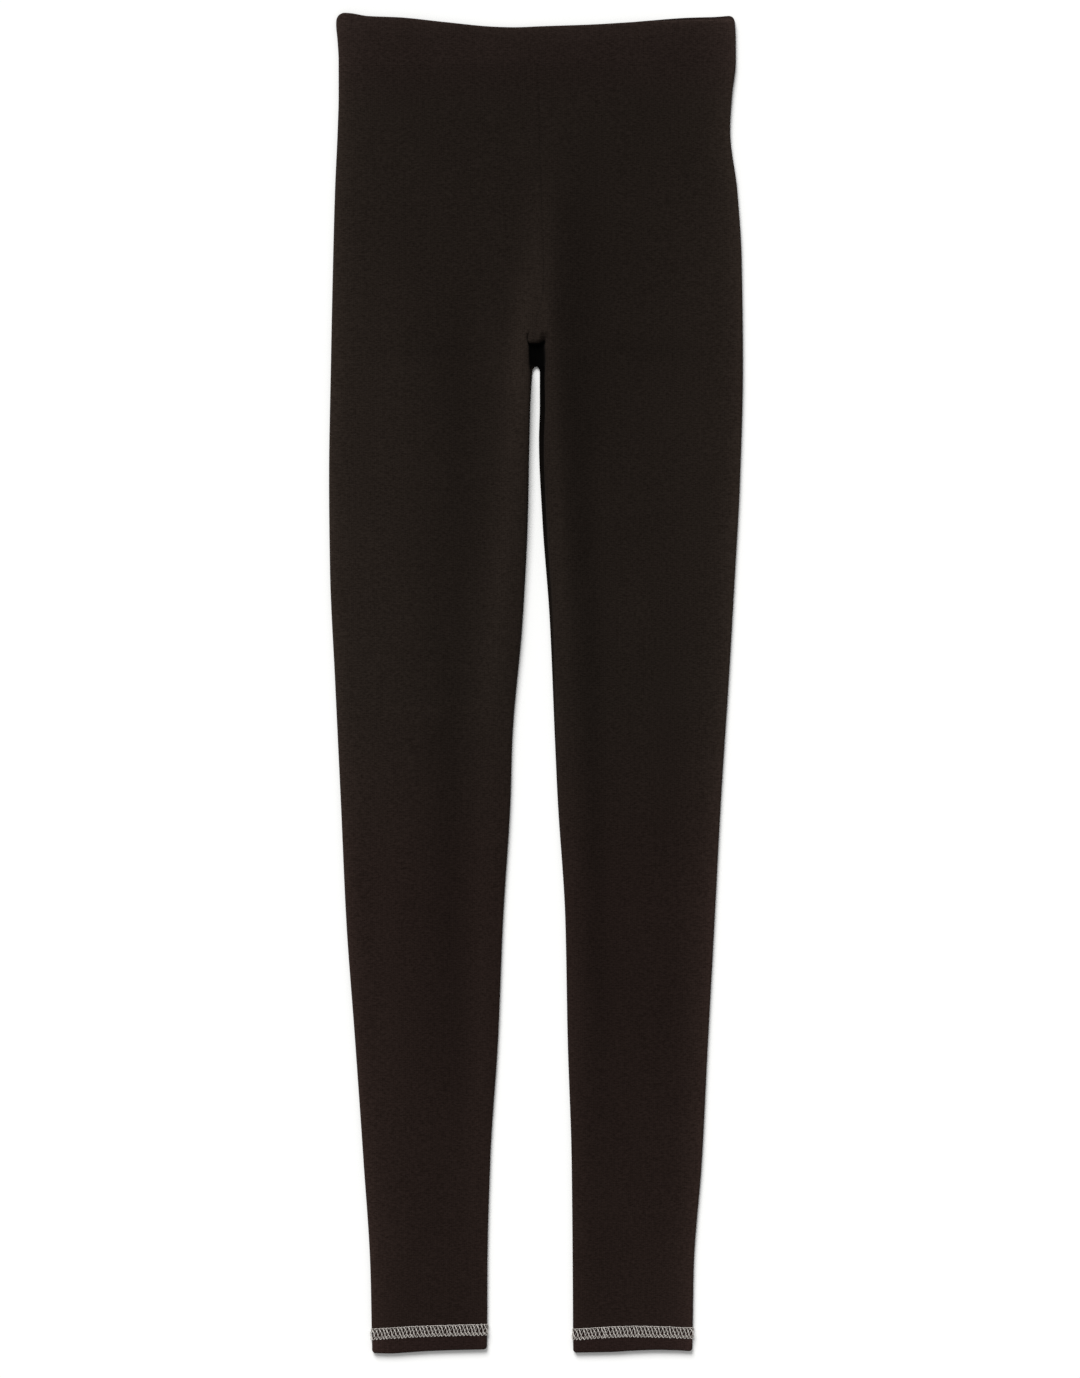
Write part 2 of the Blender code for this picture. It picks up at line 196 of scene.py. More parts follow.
# The roll beside the seam, a curve with four points: the crest, the shoulder at the crest's height, the
# foot and the seam edge. "in" is the distance in from the inner edge, and a level is the share of the way
# up to the crest. Below the crotch the roll leans over the low edge of the inseam, more on the left leg.
ROLL_COLUMNS = "down crest_in shoulder_in foot_in foot_level edge_level"
SEAM_ROLL = {
    "right": table(
        ROLL_COLUMNS,
        (0.0400, 0.0120, 0.0080, 0.0040, 1.00, 1.00),
        (0.2270, 0.0120, 0.0080, 0.0046, 1.00, 1.00),
        (0.2295, 0.0122, 0.0074, 0.0064, 0.84, 0.99),
        (0.2320, 0.0124, 0.0064, 0.0082, 0.16, 0.96),
        (0.2345, 0.0126, 0.0050, 0.0094, -0.18, 0.90),
        (0.2370, 0.0126, 0.0032, 0.0100, -0.10, 0.66),
        (0.2390, 0.0126, 0.0014, 0.0102, 0.00, 0.08),
        (0.2405, 0.0125, 0.0008, 0.0099, 0.00, 0.00),
        (0.2515, 0.0112, -0.0026, 0.0070, 0.00, 0.00),
        (0.2600, 0.0106, -0.0050, 0.0046, 0.00, 0.00),
        (0.2800, 0.0098, -0.0056, 0.0034, 0.00, 0.00),
        (0.3300, 0.0092, -0.0048, 0.0030, 0.04, 0.00),
        (0.4300, 0.0085, -0.0020, 0.0016, 0.30, 0.00),
        (0.5600, 0.0088, 0.0004, 0.0004, 0.50, 0.00),
        (0.9490, 0.0080, 0.0012, 0.0000, 0.50, 0.00),
    ),
    "left": table(
        ROLL_COLUMNS,
        (0.0400, 0.0100, 0.0070, 0.0040, 1.00, 1.00),
        (0.2270, 0.0100, 0.0066, 0.0044, 1.00, 1.00),
        (0.2295, 0.0102, 0.0056, 0.0050, 0.96, 0.99),
        (0.2320, 0.0106, 0.0046, 0.0062, 0.62, 0.96),
        (0.2345, 0.0112, 0.0032, 0.0074, 0.06, 0.90),
        (0.2370, 0.0119, 0.0014, 0.0085, -0.14, 0.66),
        (0.2390, 0.0124, -0.0003, 0.0091, 0.00, 0.08),
        (0.2405, 0.0127, -0.0009, 0.0093, 0.00, 0.00),
        (0.2515, 0.0128, -0.0024, 0.0092, 0.00, 0.00),
        (0.2600, 0.0124, -0.0036, 0.0088, 0.00, 0.00),
        (0.2800, 0.0130, -0.0040, 0.0096, 0.00, 0.00),
        (0.3300, 0.0140, -0.0036, 0.0078, 0.00, 0.00),
        (0.4300, 0.0150, -0.0016, 0.0046, 0.12, 0.00),
        (0.5600, 0.0138, 0.0008, 0.0016, 0.40, 0.00),
        (0.7200, 0.0110, 0.0014, 0.0004, 0.50, 0.00),
        (0.9490, 0.0100, 0.0012, 0.0000, 0.50, 0.00),
    ),
}
# Where the seam ends, a tongue of cloth hangs between the two rolls: how far it reaches to each side, and
# how level it lies.
TONGUE = table(
    "down reach level",
    (0.2270, 0.0004, 0.00),
    (0.2300, 0.0032, 0.95),
    (0.2345, 0.0040, 0.97),
    (0.2372, 0.0036, 0.95),
    (0.2390, 0.0016, 0.60),
    (0.2405, 0.0004, 0.00),
)
SEAM_HEIGHT = table(
    "down front floor back",
    (0.2400, 0.0019, 0.0019, 0.0000),
    (0.2531, 0.0019, 0.0019, 0.0000),
    (0.2543, 0.0020, 0.0020, 0.0002),
    (0.2600, 0.0021, 0.0021, 0.0009),
    (0.2800, 0.0022, 0.0022, 0.0014),
    (0.4300, 0.0022, 0.0022, 0.0017),
    (0.9490, 0.0021, 0.0021, 0.0017),
)
# Creases and swellings of the front layer, in millimetres: a line from one end to the other that bows
# sideways by "bow", a bell across it of half width "wide", and "lift" at its middle, negative for a trough.
CREASES = table(
    "x0 down0 x1 down1 bow wide lift",
    # the crest of the hump over the crotch, and the hollow behind it on the left leg
    (12.5, 84.0, 11.5, 300.0, 1.0, 4.5, 0.5),
    (34.0, 130.0, 30.0, 330.0, -3.0, 9.0, -0.4),
    # the domes of the two panels
    (-96.0, 70.0, -80.0, 900.0, -5.0, 21.0, 1.3),
    (92.0, 80.0, 74.0, 880.0, 4.0, 26.0, 0.7),
    # dents and swellings down the right leg
    (-55.0, 400.0, -49.0, 478.0, 3.0, 8.0, -0.6),
    (-57.0, 500.0, -50.0, 655.0, -3.0, 8.5, -0.7),
    (-54.0, 715.0, -50.0, 800.0, 2.0, 7.0, -0.5),
    (-119.0, 360.0, -112.0, 520.0, -4.0, 13.0, 0.7),
    (-118.0, 190.0, -92.0, 236.0, 5.0, 15.0, 0.5),
    (-76.0, 478.0, -62.0, 506.0, 2.0, 9.0, 0.5),
    (-66.0, 250.0, -58.0, 380.0, 4.0, 9.0, -0.4),
    # dents and swellings down the left leg
    (49.0, 280.0, 42.0, 325.0, 2.0, 8.0, -0.4),
    (42.0, 370.0, 36.0, 420.0, -2.0, 6.5, -0.5),
    (74.0, 322.0, 68.0, 378.0, 3.0, 11.0, 0.6),
    (128.0, 280.0, 122.0, 336.0, 3.0, 11.0, 0.5),
    (92.0, 590.0, 84.0, 655.0, 4.0, 13.0, -0.6),
    (110.0, 690.0, 104.0, 770.0, -3.0, 9.0, -0.5),
    (60.0, 480.0, 52.0, 600.0, 4.0, 8.0, -0.4),
    # the mark of a fold pressed across both legs
    (-135.0, 866.0, -20.0, 868.0, 0.6, 1.4, 0.25),
    (12.0, 863.0, 132.0, 865.0, -0.6, 1.4, 0.25),
    # gathers at the crotch, drawn together by the end of the centre seam
    (-12.0, 214.0, -5.6, 237.5, 1.0, 1.3, 0.45),
    (-7.2, 219.0, -3.1, 238.0, 0.6, 0.9, 0.50),
    (-1.8, 222.0, -0.2, 238.5, 0.5, 0.8, 0.45),
    (4.6, 218.0, 1.9, 238.0, -0.5, 1.0, 0.35),
    (10.5, 213.0, 5.4, 237.0, -1.0, 1.4, 0.35),
    (-9.6, 224.0, -4.4, 238.0, 0.8, 0.8, -0.45),
    (-4.6, 221.0, -1.8, 238.0, 0.4, 0.7, -0.45),
    (2.4, 222.0, 0.9, 238.0, -0.3, 0.7, -0.35),
    (7.6, 222.0, 4.0, 238.0, -0.6, 0.9, -0.40),
)
# Strokes of painted light and shade, in millimetres: each makes the cloth lighter, or darker, by "tone".
SHADING_STROKES = table(
    "x0 down0 x1 down1 bow wide tone",
    # painted light on the side of the hump that rises from the right leg, and on down that leg's inner roll
    (3.0, 120.0, -14.0, 320.0, 3.0, 11.0, 0.26),
    (-9.0, 186.0, -15.0, 275.0, 0.0, 8.0, 0.28),
    (-15.0, 240.0, -38.0, 520.0, 2.0, 10.0, 0.28),
    (-36.0, 470.0, -45.0, 900.0, 0.0, 7.0, 0.10),
    # lighter round the end of the seam
    (6.0, 198.0, 5.5, 252.0, 0.0, 5.0, 0.20),
    # painted shade on the side that falls towards the left leg, and on down that leg's inner roll
    (19.0, 120.0, 27.0, 440.0, 0.0, 13.0, -0.12),
    (34.0, 80.0, 40.0, 330.0, 0.0, 14.0, -0.17),
    (35.0, 290.0, 46.0, 800.0, 0.0, 9.0, -0.19),
    # the crest of that roll
    (11.0, 225.0, 20.0, 480.0, 0.0, 6.0, 0.22),
    # the middle of the right leg and its outer side
    (-60.0, 200.0, -53.0, 410.0, 0.0, 13.0, -0.09),
    (-65.0, 410.0, -59.0, 790.0, 0.0, 12.0, -0.13),
    (-74.0, 560.0, -71.0, 740.0, 0.0, 12.0, -0.06),
    (-104.0, 170.0, -94.0, 640.0, 0.0, 22.0, 0.12),
    (-126.0, 190.0, -118.0, 600.0, 0.0, 18.0, 0.08),
    (-113.0, 540.0, -100.0, 900.0, 0.0, 12.0, 0.06),
    (-128.0, 570.0, -122.0, 810.0, 0.0, 8.0, -0.10),
    # the middle of the left leg and its outer side
    (66.0, 50.0, 70.0, 400.0, 0.0, 22.0, -0.10),
    (109.0, 50.0, 116.0, 150.0, 0.0, 15.0, -0.06),
    (74.0, 430.0, 68.0, 850.0, 0.0, 22.0, -0.11),
    (101.0, 430.0, 96.0, 880.0, 0.0, 15.0, -0.11),
    # across both legs below the crotch, where they bend, and across the right knee
    (-128.0, 243.0, -30.0, 240.0, 0.0, 8.0, -0.09),
    (52.0, 242.0, 132.0, 242.0, 0.0, 9.0, -0.09),
    (-112.0, 504.0, -28.0, 499.0, 0.0, 7.0, 0.12),
    # along the waist
    (-142.0, 30.0, -10.0, 30.0, 0.0, 11.0, 0.08),
)
MM = 0.001

# How finely each stretch of a leg's section is divided, from the front seam edge round to the back one.
LEG_STRETCHES = (
    ("front_lip", 5),
    ("front_roll", 20),
    ("front", 46),
    ("outer_fold", 10),
    ("back", 20),
    ("back_roll", 7),
    ("back_lip", 2),
)
# Rows of the leg's grid round the crotch: evenly spaced at the side, gathered in at the seam.
FORK_ROWS_TOP = 0.216
FORK_ROWS_END = 0.300
FORK_ROWS = table(
    "start count",
    (0.2160, 8),
    (0.2280, 14),
    (0.2345, 14),
    (0.2405, 9),
    (0.2525, 4),
    (0.2537, 12),
    (0.2549, 8),
    (0.2580, 6),
    (0.2650, 11),
    (0.3000, 1),
)
ROW_SPACING = 0.0030
EDGE_ROWS = (0.0, 0.00006, 0.0004, 0.0008, 0.0013)  # the first rows beside a sewn edge, from that edge
EDGE_FADE = 0.10  # over which the rows turn parallel to the sewn edge


def smooth(places, values, at):
    """The value at each place, on a curve through the given values that never overshoots them."""
    at = np.clip(at, places[0], places[-1])
    spans = [after - before for before, after in zip(places, places[1:])]
    rises = [(values[k + 1] - values[k]) / spans[k] for k in range(len(spans))]
    slopes = [rises[0]]
    for before, after in zip(rises, rises[1:]):
        alike = np.asarray(before * after > 0)
        slopes.append(np.where(alike, 2 * before * after / np.where(alike, before + after, 1.0), 0.0))
    slopes.append(rises[-1])
    result = np.zeros_like(at)
    for k, span in enumerate(spans):
        t = np.clip((at - places[k]) / span, 0.0, 1.0)
        value = values[k] * (1 + 2 * t) * (1 - t) ** 2 + values[k + 1] * t * t * (3 - 2 * t)
        value = value + span * (slopes[k] * t * (1 - t) ** 2 - slopes[k + 1] * t * t * (1 - t))
        result = np.where(at >= places[k], value, result)
    return result


def along(columns, name, at):
    """A column's value at each place."""
    return smooth(next(iter(columns.values())), columns[name], np.asarray(at, dtype=float))


def mix(a, b, share):
    return a + (b - a) * share


def ease(t):
    """A smooth step from 0 to 1."""
    t = np.clip(t, 0.0, 1.0)
    return t * t * (3 - 2 * t)


def curve(points, t):
    """Points on the curve with four control points."""
    weights = ((1 - t) ** 3, 3 * t * (1 - t) ** 2, 3 * t * t * (1 - t), t**3)
    return tuple(sum(w * p[i] for w, p in zip(weights, points)) for i in (0, 1))


def toward(point, other, distance):
    """The point that lies a distance from one point towards another."""
    step = (other[0] - point[0], other[1] - point[1])
    length = np.hypot(*step)
    return (point[0] + step[0] * distance / length, point[1] + step[1] * distance / length)


def inner_edge(name, down):
    """Distances across to a leg's seam edge and to the line that its rolls follow."""
    centre = SIDES[name] * along(CENTRE_SEAM, "x", down) - SEAM_LAP / 2
    parting = along(INNER_EDGE, name, down)
    t = np.clip((down - FORK) / FORK_ROUNDING, 0.0, 1.0)
    return centre + parting * np.sqrt(1 - (1 - t) ** 2), centre + parting


def strokes(columns, x, down):
    """The sum of soft strokes at each place. The last column is the height of each at its middle."""
    total = np.zeros_like(x)
    for x0, down0, x1, down1, bow, wide, height in zip(*columns.values()):
        run = np.array([x1 - x0, down1 - down0]) * MM
        length = math.hypot(*run)
        ahead = ((x - x0 * MM) * run[0] + (down - down0 * MM) * run[1]) / length**2
        swell = np.sin(np.pi * np.clip(ahead, 0.0, 1.0))
        aside = ((x - x0 * MM) * run[1] - (down - down0 * MM) * run[0]) / length
        aside = aside - bow * MM * swell
        total += height * np.sqrt(swell) * np.exp(-((aside / (wide * MM)) ** 2))
    return total


def leaning(x, down, up):
    """The height of the front layer once the hump leans over to the left leg."""
    slope = along(LEAN_ACROSS, "left_over", x)
    return LAYERS + (up - LAYERS) * mix(1.0, slope, along(LEAN, "lean", down))


def seam_groove(x, down):
    """The groove of the centre seam, with the rounded lips of the seam allowance on its two sides."""
    aside = np.abs(x - along(CENTRE_SEAM, "x", down)) / MM
    groove = 0.08 * np.exp(-(((aside - 2.2) / 1.1) ** 2)) - 0.26 * np.exp(-((aside / 0.9) ** 2))
    return groove * MM * ease((SEAM_END - down) / SEAM_FADE)


def edge_sink(distance):
    """How far a leg's cloth sinks under the casing's edge at a distance from it."""
    return 0.00006 * (1 - ease(distance / 0.0012))


def leg_section(name, stretch, share, down):
    """Points on the outer face of a leg's section, as (across, up)."""
    edge, line = inner_edge(name, down)
    radius = along(HEIGHT, "outer", down) / 2
    turn = along(OUTER_EDGE, name, down) - radius
    roll = SEAM_ROLL[name]
    hump = line + SIDES[name] * (along(HUMP_LINE, "x", down) - along(CENTRE_SEAM, "x", down))
    crest = hump + along(roll, "crest_in", down)
    top = along(HEIGHT, "roll", down)
    if stretch == "front":
        heights = [along(HEIGHT, column, down) for column in HEIGHT if column != "down"]
        return mix(crest, turn, share), smooth(FRONT_SHARES, heights, share + 0 * down)
    if stretch == "outer_fold":
        angle = math.pi * share
        return turn + radius * np.sin(angle), radius + radius * np.cos(angle)
    if stretch == "back":
        return mix(turn, line + BACK_ROLL, share), 0 * down
    if stretch.startswith("front"):
        low = along(SEAM_HEIGHT, "front", down)
        seam = (edge, mix(low, top, along(roll, "edge_level", down)))
        floor = along(SEAM_HEIGHT, "floor", down)
        foot_up = mix(floor, top, along(roll, "foot_level", down))
        foot = (hump + along(roll, "foot_in", down), foot_up)
        level = mix(foot_up, seam[1], along(TONGUE, "level", down))
        lip = toward(seam, (foot[0], level), along(TONGUE, "reach", down))
        shoulder = (hump + along(roll, "shoulder_in", down), top)
        if stretch == "front_lip":
            return mix(seam[0], lip[0], share), mix(seam[1], lip[1], share)
        return curve((lip, foot, shoulder, (crest, top)), share)
    seam = (edge, along(SEAM_HEIGHT, "back", down))
    flatness = 1 - seam[1] / max(SEAM_HEIGHT["back"])
    foot = (line + BACK_ROLL / 3 * flatness, seam[1] * BACK_UPRIGHT)
    lip = toward(seam, foot, LIP)
    if stretch == "back_lip":
        return mix(lip[0], seam[0], share), mix(lip[1], seam[1], share)
    return curve(((line + BACK_ROLL, 0.0), (line + BACK_ROLL / 2, 0.0), foot, lip), share)


def leg_rows():
    """The rows of a leg's grid, as arrays of down at the side and down at the seam."""
    first = float(along(CASING_LINE, "down", 0.0)) - SEAM_LAP / 2
    last = float(along(STITCH_LINE, "right", 0.5)) + SEAM_LAP / 2
    starts, counts = FORK_ROWS["start"], FORK_ROWS["count"]
    seam = [np.linspace(a, b, n, endpoint=False) for a, b, n in zip(starts, starts[1:], counts)]
    seam = np.concatenate(seam)
    side = np.linspace(FORK_ROWS_TOP, FORK_ROWS_END, len(seam), endpoint=False)
    above = np.linspace(first, FORK_ROWS_TOP, round((FORK_ROWS_TOP - first) / ROW_SPACING), endpoint=False)
    above = np.concatenate([first + np.array(EDGE_ROWS), above[1:]])
    below = np.linspace(FORK_ROWS_END, last, round((last - FORK_ROWS_END) / ROW_SPACING))
    below = np.concatenate([below[:-1], last - np.array(EDGE_ROWS)[::-1]])
    return np.concatenate([above, side, below]), np.concatenate([above, seam, below])


def seam_pull(stretch, share):
    """How far a place follows the rows gathered in at the seam: 1 on the rolls, 0 past the trough."""
    if stretch == "front":
        return np.clip(1 - share / FRONT_SHARES[1], 0.0, 1.0)
    if stretch == "back":
        return np.clip(1 - (1 - share) / FRONT_SHARES[1], 0.0, 1.0)
    return 0 * share if stretch == "outer_fold" else 0 * share + 1


def foot_share(name, across, down):
    """Share of the way across a leg from its inner to its outer edge."""
    inner, outer = inner_edge(name, down)[1], along(OUTER_EDGE, name, down)
    return np.clip((across - inner) / (outer - inner), 0.0, 1.0)


def crease_weight(stretch, share, down):
    """How much of the creases a place takes: all on the front, none on the back, folds and seam edges."""
    if stretch == "front":
        return 1 - ease((share - 0.90) / 0.10) + 0 * down
    if stretch in ("front_lip", "front_roll"):
        below = ease((down - 0.236) / 0.006)
        reach = share if stretch == "front_roll" else 0 * share
        return mix(1.0, ease(reach), below)
    return 0 * down + 0 * share


SHADE_FROM = 0.0022  # depth below the crest at which a roll's own shade begins, and over which it grows
SHADE_OVER = 0.0026
STITCH_LIFT = 0.0008  # the back layer rides over the hem stitches under it
STITCH_REACH = 0.009  # how far to each side of the stitches it does


def roll_shade(stretch, down, up):
    """How far a place on a roll lies in its own shade, from 0 on the crest to 1 at the foot."""
    if stretch not in ("front_lip", "front_roll"):
        return 0 * up
    crest_up = along(HEIGHT, "roll", down)
    depth = (crest_up - up) - SHADE_FROM
    return ease(depth / SHADE_OVER) * ease((down - 0.2270) / 0.003)


def leg_points(name):
    """Every point of a leg's grid, as rows, columns and coordinates, and how far each lies in shade."""
    side_rows, seam_rows = leg_rows()
    first, last = side_rows[0], side_rows[-1]
    parts, shades = [], []
    for stretch, count in LEG_STRETCHES:
        share = np.arange(count) / count
        if stretch == LEG_STRETCHES[-1][0]:
            share = np.append(share, 1.0)
        pull = seam_pull(stretch, share)
        down = side_rows[:, None] + (seam_rows - side_rows)[:, None] * pull
        across, up = leg_section(name, stretch, share[None, :], down)
        near_waist = np.clip(1 - (down - first) / EDGE_FADE, 0.0, 1.0)
        near_foot = np.clip(1 - (last - down) / EDGE_FADE, 0.0, 1.0)
        stitch = along(STITCH_LINE, name, foot_share(name, across, down)) + SEAM_LAP / 2
        casing = along(CASING_LINE, "down", SIDES[name] * across) - SEAM_LAP / 2
        down = down + (casing - first) * near_waist + (stitch - last) * near_foot
        across, up = leg_section(name, stretch, share[None, :], down)
        x = SIDES[name] * across
        shades.append(roll_shade(stretch, down, up + 0 * x))
        if stretch in ("front_lip", "front_roll", "front"):
            up = leaning(x, down, up) + seam_groove(x, down) - edge_sink(down - casing)
        up = up + strokes(CREASES, x, down) * MM * crease_weight(stretch, share[None, :], down)
        if stretch in ("back", "back_roll", "back_lip"):
            up = up + STITCH_LIFT * ease(1 - (stitch - down) / STITCH_REACH)
            up = up + np.maximum(-seam_groove(x, down), 0.0)
        else:
            up = np.maximum(up, LAYERS if stretch == "front" else 2 * CLOTH)
        parts.append(np.stack([x, TOP - down, up + 0 * x], axis=-1))
    return np.concatenate(parts, axis=1), np.concatenate(shades, axis=1)


# How much painted highlight lies along the inner side of each leg, and how deep each roll's painted shade
# is.
INNER_HIGHLIGHT = table(
    "down right left",
    (0.250, 0.33, 0.15),
    (0.400, 0.33, 0.36),
    (0.560, 0.32, 0.38),
    (0.640, 0.20, 0.33),
    (0.850, 0.05, 0.14),
)
SHADED = table(
    "down right left",
    (0.253, 1.00, 1.00),
    (0.258, 0.25, 1.00),
    (0.270, 0.00, 0.95),
    (0.420, 0.00, 0.60),
)


def outer_fold_highlight(distance):
    """The painted highlight at a distance from an outer fold, lighter where the cloth rounds away."""
    return 0.30 * np.exp(-distance / 0.028) + 0.75 * np.exp(-distance / 0.006)


def inner_fold_highlight(distance):
    """The same at a distance from an inner fold near the foot."""
    return 0.32 * np.exp(-distance / 0.006)


def painted_light_and_shade(name, points, shaded):
    """How much lighter or darker than flat cloth each point is painted: painted light and shade.

    Painted highlights lie towards the folds and along the inner side of each leg below the crotch, painted
    light and shade lie in the strokes, and a little painted shade lies along the centre seam. "shaded" is
    how far each point lies in a roll's own shade, down in the crotch and under the rolls beside the inseams;
    there the colour is painted almost black, as painted shade.
    """
    down = TOP - points[:, :, 1]
    across = SIDES[name] * points[:, :, 0]
    from_outer = np.maximum(along(OUTER_EDGE, name, down) - across, 0.0)
    from_inner = np.maximum(across - inner_edge(name, down)[1], 0.0)
    # painted highlights towards the folds, and along the inner side of each leg below the crotch
    painted_shading = outer_fold_highlight(from_outer) + inner_fold_highlight(from_inner) * ease((down - 0.45) / 0.45)
    painted_shading = painted_shading + along(INNER_HIGHLIGHT, name, down) * np.exp(-from_inner / 0.0085) * ease((down - FORK) / 0.010)
    painted_shading = painted_shading + strokes(SHADING_STROKES, points[:, :, 0], down)
    # painted shade along the groove of the centre seam
    aside = np.abs(points[:, :, 0] - along(CENTRE_SEAM, "x", down)) / MM
    painted_shading = painted_shading - 0.06 * np.exp(-((aside / 0.8) ** 2)) * ease((SEAM_END - down) / SEAM_FADE)
    shaded = shaded * along(SHADED, name, down)
    # the shaded places are painted almost black: painted shade in the crotch and under the rolls
    return painted_shading * (1 - shaded) - 0.97 * shaded


def cloth_piece(name, points, painted_shading, wall, material, closed=False, flip=False):
    """A piece of cloth: a grid laid through the points of its outer face, with a wall built inwards.

    "closed" joins the grid's last column to its first, and "flip" turns a mirrored piece right side out.
    """
    rows, columns = points.shape[0], points.shape[1]
    across = columns if closed else columns - 1
    grid = bmesh.new()
    bmesh.ops.create_grid(grid, x_segments=across, y_segments=rows - 1, size=0.5)
    # painted light and shade for each point, by which the material scales its colour
    painted_shading_layer = grid.verts.layers.float.new("painted_light_and_shade")
    for vertex in grid.verts:
        column = round((vertex.co.x + 0.5) * across) % columns
        row = round((vertex.co.y + 0.5) * (rows - 1))
        vertex.co = Vector(points[row, column])
        vertex[painted_shading_layer] = float(painted_shading[row, column])
    if closed:
        bmesh.ops.remove_doubles(grid, verts=grid.verts, dist=1e-6)
    if flip:
        bmesh.ops.reverse_faces(grid, faces=grid.faces)
    mesh = bpy.data.meshes.new(name)
    grid.to_mesh(mesh)
    grid.free()
    mesh.shade_smooth()
    mesh.materials.append(material)
    piece = bpy.data.objects.new(name, mesh)
    bpy.context.scene.collection.objects.link(piece)
    solidify = piece.modifiers.new("cloth wall", "SOLIDIFY")
    solidify.thickness = wall
    solidify.offset = -1.0
    return piece


def linear(hex_colour):
    """An sRGB colour such as "#1e1613" as linear red, green, blue and alpha."""
    parts = [int(hex_colour[k : k + 2], 16) / 255 for k in (1, 3, 5)]
    return [c / 12.92 if c <= 0.04045 else ((c + 0.055) / 1.055) ** 2.4 for c in parts] + [1.0]


def set_inputs(tree, node, inputs):
    """Give a shader node its inputs; each is a value, or the output that it is linked to."""
    for key, value in inputs.items():
        if isinstance(value, bpy.types.NodeSocket):
            tree.links.new(value, node.inputs[key])
        else:
            node.inputs[key].default_value = value


def add_node(tree, kind, inputs, **settings):
    """A shader node with its inputs and settings."""
    new = tree.nodes.new(kind)
    for key, value in settings.items():
        setattr(new, key, value)
    set_inputs(tree, new, inputs)
    return new


def new_material(name):
    """A material, with its node tree and the shader in it."""
    material = bpy.data.materials.new(name)
    material.use_nodes = True
    return material, material.node_tree, material.node_tree.nodes["Principled BSDF"]


# How the dye varies from the waist down to the feet: redder at both ends.
DYE = table(
    "down red green blue",
    (0.0320, 1.000, 0.917, 0.975),
    (0.0720, 0.917, 0.917, 0.917),
    (0.4896, 0.917, 0.917, 0.917),
    (0.6325, 1.000, 0.865, 0.905),
)


def knitted_jersey(name, dark, light):
    """Brushed cotton single jersey: near black with a warm cast, matt, with a soft nap at grazing angles.

    The eye sees dark brown heather, redder at the waist and below the knees. Painted highlights and painted
    shade are scaled into its colour from the piece's painted_light_and_shade attribute. The wales and
    courses are really 0.65 and 0.5 mm apart. They are drawn 1.5 and 1.2 mm apart, so that the knit still
    shows from a step away.
    """
    wale, course = 0.0015, 0.0012
    material, tree, shader = new_material(name)
    place = add_node(tree, "ShaderNodeTexCoord", {}).outputs["Object"]
    axes = add_node(tree, "ShaderNodeSeparateXYZ", {0: place}).outputs

    def maths(operation, first, second=0.0):
        return add_node(tree, "ShaderNodeMath", {0: first, 1: second}, operation=operation).outputs[0]

    # a column of stitches: high in the middle, each stitch a V that points down the leg
    wander = add_node(tree, "ShaderNodeTexNoise", {"Vector": place, "Scale": 60.0, "Detail": 2.0})
    shift = maths("MULTIPLY", wander.outputs["Fac"], 0.0016)
    column = maths("DIVIDE", maths("ADD", axes["X"], shift), wale)
    aside = maths("ABSOLUTE", maths("SUBTRACT", maths("FRACT", column), 0.5))
    row = maths("ADD", maths("DIVIDE", maths("ADD", axes["Y"], shift), course), aside)
    loop = maths("SINE", maths("MULTIPLY", row, 2 * math.pi))
    rib = maths("SUBTRACT", 1.0, maths("MULTIPLY", aside, 2.0))
    knit = maths("ADD", maths("MULTIPLY", loop, 0.35), rib)

    # heather: single fibres lighter or darker, drawn out along the courses
    drawn = add_node(tree, "ShaderNodeMapping", {"Vector": place, "Scale": (0.45, 1.0, 1.0)})
    fibres = add_node(
        tree,
        "ShaderNodeTexNoise",
        {"Vector": drawn.outputs[0], "Scale": 1050.0, "Detail": 2.0, "Roughness": 0.6},
    )
    clouds = add_node(tree, "ShaderNodeTexNoise", {"Vector": place, "Scale": 16.0, "Detail": 3.0})
    tone = maths("ADD", maths("MULTIPLY", fibres.outputs["Fac"], 0.86), maths("MULTIPLY", knit, 0.09))
    tone = maths("ADD", tone, maths("MULTIPLY", clouds.outputs["Fac"], 0.10))
    ramp = add_node(tree, "ShaderNodeValToRGB", {"Fac": tone})
    ramp.color_ramp.elements[0].position = 0.31
    ramp.color_ramp.elements[0].color = linear(dark)
    ramp.color_ramp.elements[1].position = 0.73
    ramp.color_ramp.elements[1].color = linear(light)
    # painted light and shade from the piece's attribute
    painted_shading = add_node(tree, "ShaderNodeAttribute", {}, attribute_name="painted_light_and_shade").outputs["Fac"]

    down_share = maths("DIVIDE", maths("SUBTRACT", TOP, axes["Y"]), LENGTH)
    dye = add_node(tree, "ShaderNodeValToRGB", {"Fac": down_share})
    stops = dye.color_ramp.elements
    for k, (down, *tint) in enumerate(zip(*DYE.values())):
        stop = stops[k] if k < len(stops) else stops.new(1.0)
        stop.position = down / LENGTH
        stop.color = (*tint, 1.0)
    dyed = add_node(
        tree,
        "ShaderNodeVectorMath",
        {0: ramp.outputs["Color"], 1: dye.outputs["Color"]},
        operation="MULTIPLY",
    )
    # the colour scaled by that painted light and shade, down to near black in the painted shade
    colour = add_node(
        tree,
        "ShaderNodeVectorMath",
        {0: dyed.outputs[0], "Scale": maths("MULTIPLY", maths("ADD", painted_shading, 1.0), 1.09)},
        operation="SCALE",
    )

    surface = maths("ADD", knit, maths("MULTIPLY", fibres.outputs["Fac"], 1.2))
    bump = add_node(tree, "ShaderNodeBump", {"Height": surface, "Strength": 0.35, "Distance": 0.00022})
    finish = {
        "Base Color": colour.outputs[0],
        "Normal": bump.outputs["Normal"],
        "Roughness": 0.95,
        "IOR": 1.46,
        "Specular IOR Level": 0.04,
        "Sheen Weight": 0.02,
        "Sheen Roughness": 0.45,
        "Sheen Tint": linear("#f2ded2"),
    }
    set_inputs(tree, shader, finish)
    return material


